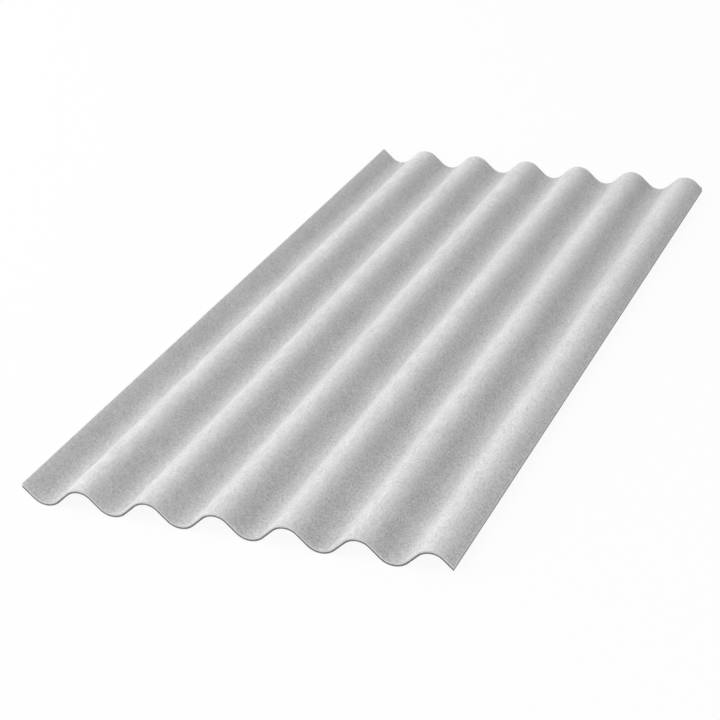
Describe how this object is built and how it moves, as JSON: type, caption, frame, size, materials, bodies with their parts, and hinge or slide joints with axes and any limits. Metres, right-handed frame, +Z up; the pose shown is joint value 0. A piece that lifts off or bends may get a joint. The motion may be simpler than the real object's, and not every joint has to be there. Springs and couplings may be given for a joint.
{
  "type": "corrugated roof sheet",
  "caption": "Corrugated fibre cement roofing sheet with even rounded waves, square-cut ends, and one side edge turned up and the other turned down for side laps.",
  "frame": {"origin": "under the middle of the sheet's length and width, level with the underside of the valleys", "axes": "+X across the waves, towards the side edge that is turned down; +Y along the waves, up the slope of the roof; +Z up, out of the weather face"},
  "size_m": [1.09, 2.44, 0.0558],
  "materials": {
    "fibre_cement": "matte"
  },
  "bodies": {
    "root": {"corrugated_sheet": "fibre_cement"}
  },
  "joints": []
}
